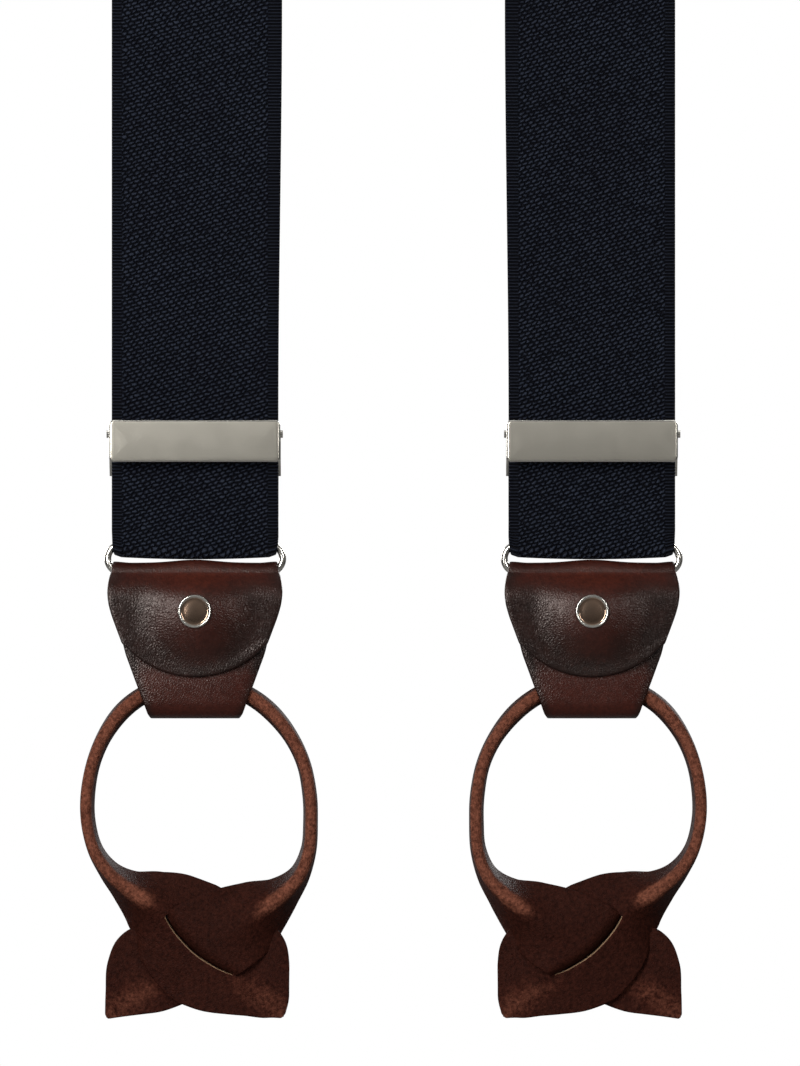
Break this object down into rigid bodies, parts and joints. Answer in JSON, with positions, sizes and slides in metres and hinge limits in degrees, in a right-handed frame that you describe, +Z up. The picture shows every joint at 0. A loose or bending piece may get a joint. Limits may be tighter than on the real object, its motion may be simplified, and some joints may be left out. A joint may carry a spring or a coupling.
{
  "type": "suspenders",
  "caption": "Y-back trouser suspenders of wide navy elastic webbing with lever adjusters, wire rings and leather button-on ends that snap open.",
  "frame": {"origin": "top of the drape over the shoulder, midway between the two straps, on the webbing's underside", "axes": "+Z up, -Y towards the front of the wearer, +X to the viewer's right"},
  "size_m": [0.1358, 0.1016, 0.6288],
  "materials": {
    "webbing": "ribbed twill-dashed elastic webbing, matt with a soft sheen",
    "thread": "fine matt thread",
    "leather": "burnished dark brown, glossy",
    "runner_leather": "waxed brown, scuffed along its creases",
    "nickel": "polished nickel",
    "satin_nickel": "satin nickel with bright bevelled edges"
  },
  "bodies": {
    "root": {"strap_left": "webbing", "strap_right": "webbing", "strap_lower_left": "webbing", "strap_lower_right": "webbing", "back_strap": "webbing", "back_strap_stitching": "thread", "back_patch": "leather", "back_patch_lining": "leather", "back_patch_stitching": "thread"},
    "fold_left": {"webbing_fold_left": "webbing"},
    "adjuster_left": {"webbing_return_left": "webbing", "webbing_end_left": "webbing", "webbing_end_stitching_left": "thread", "adjuster_frame_left": "nickel", "adjuster_pin_left": "nickel"},
    "lever_left": {"adjuster_lever_left": "satin_nickel"},
    "fold_right": {"webbing_fold_right": "webbing"},
    "adjuster_right": {"webbing_return_right": "webbing", "webbing_end_right": "webbing", "webbing_end_stitching_right": "thread", "adjuster_frame_right": "nickel", "adjuster_pin_right": "nickel"},
    "lever_right": {"adjuster_lever_right": "satin_nickel"},
    "ring_left": {"ring_left": "nickel"},
    "tab_left": {"tab_left": "leather", "snap_stud_left": "nickel", "snap_post_left": "nickel"},
    "flap_left": {"flap_left": "leather", "snap_cap_left": "nickel", "snap_socket_left": "nickel"},
    "runner_left": {"runner_left": "runner_leather"},
    "ring_right": {"ring_right": "nickel"},
    "tab_right": {"tab_right": "leather", "snap_stud_right": "nickel", "snap_post_right": "nickel"},
    "flap_right": {"flap_right": "leather", "snap_cap_right": "nickel", "snap_socket_right": "nickel"},
    "runner_right": {"runner_right": "runner_leather"},
    "ring_back": {"ring_back": "nickel"},
    "tab_back": {"tab_back": "leather", "snap_stud_back": "nickel", "snap_post_back": "nickel"},
    "flap_back": {"flap_back": "leather", "snap_cap_back": "nickel", "snap_socket_back": "nickel"},
    "runner_back": {"runner_back": "runner_leather"}
  },
  "joints": [
    {"name": "length_adjust_left", "type": "slide", "parent": "root", "child": "fold_left", "axis": [0, 0, 1], "range_m": [0, 0.045], "deforming": ["strap_lower_left"]},
    {"name": "adjuster_slide_left", "type": "slide", "parent": "fold_left", "child": "adjuster_left", "axis": [0, 0, 1], "range_m": [0, 0.045], "deforming": ["webbing_return_left"]},
    {"name": "lever_open_left", "type": "hinge", "parent": "adjuster_left", "child": "lever_left", "pos_m": [-0.0425, -0.0484, -0.50335], "axis": [-1, 0, 0], "range_deg": [0, 70]},
    {"name": "ring_swing_left", "type": "hinge", "parent": "fold_left", "child": "ring_left", "pos_m": [-0.0425, -0.0435, -0.527], "axis": [-1, 0, 0], "range_deg": [-20, 20]},
    {"name": "length_adjust_right", "type": "slide", "parent": "root", "child": "fold_right", "axis": [0, 0, 1], "range_m": [0, 0.045], "deforming": ["strap_lower_right"]},
    {"name": "adjuster_slide_right", "type": "slide", "parent": "fold_right", "child": "adjuster_right", "axis": [0, 0, 1], "range_m": [0, 0.045], "deforming": ["webbing_return_right"]},
    {"name": "lever_open_right", "type": "hinge", "parent": "adjuster_right", "child": "lever_right", "pos_m": [0.0425, -0.0484, -0.50335], "axis": [-1, 0, 0], "range_deg": [0, 70]},
    {"name": "ring_swing_right", "type": "hinge", "parent": "fold_right", "child": "ring_right", "pos_m": [0.0425, -0.0435, -0.527], "axis": [-1, 0, 0], "range_deg": [-20, 20]},
    {"name": "ring_swing_back", "type": "hinge", "parent": "root", "child": "ring_back", "pos_m": [0, 0.0435, -0.292], "axis": [1, 0, 0], "range_deg": [-20, 20]},
    {"name": "tab_swing_left", "type": "hinge", "parent": "ring_left", "child": "tab_left", "pos_m": [-0.0425, -0.0435, -0.533], "axis": [-1, 0, 0], "range_deg": [-20, 20]},
    {"name": "flap_open_left", "type": "hinge", "parent": "tab_left", "child": "flap_left", "pos_m": [-0.0425, -0.042, -0.5332], "axis": [-1, 0, 0], "range_deg": [0, 55]},
    {"name": "runner_slide_left", "type": "hinge", "parent": "tab_left", "child": "runner_left", "pos_m": [-0.0425, -0.0435, -0.5747], "axis": [0, -1, 0], "range_deg": [-12, 12]},
    {"name": "tab_swing_right", "type": "hinge", "parent": "ring_right", "child": "tab_right", "pos_m": [0.0425, -0.0435, -0.533], "axis": [-1, 0, 0], "range_deg": [-20, 20]},
    {"name": "flap_open_right", "type": "hinge", "parent": "tab_right", "child": "flap_right", "pos_m": [0.0425, -0.042, -0.5332], "axis": [-1, 0, 0], "range_deg": [0, 55]},
    {"name": "runner_slide_right", "type": "hinge", "parent": "tab_right", "child": "runner_right", "pos_m": [0.0425, -0.0435, -0.5747], "axis": [0, -1, 0], "range_deg": [-12, 12]},
    {"name": "tab_swing_back", "type": "hinge", "parent": "ring_back", "child": "tab_back", "pos_m": [0, 0.0435, -0.298], "axis": [1, 0, 0], "range_deg": [-20, 20]},
    {"name": "flap_open_back", "type": "hinge", "parent": "tab_back", "child": "flap_back", "pos_m": [0, 0.042, -0.2982], "axis": [1, 0, 0], "range_deg": [0, 55]},
    {"name": "runner_slide_back", "type": "hinge", "parent": "tab_back", "child": "runner_back", "pos_m": [0, 0.0435, -0.3397], "axis": [0, 1, 0], "range_deg": [-12, 12]}
  ],
  "couplings": [
    {"joint": "adjuster_slide_left", "follows": "length_adjust_left", "ratio": 1},
    {"joint": "adjuster_slide_right", "follows": "length_adjust_right", "ratio": 1}
  ]
}
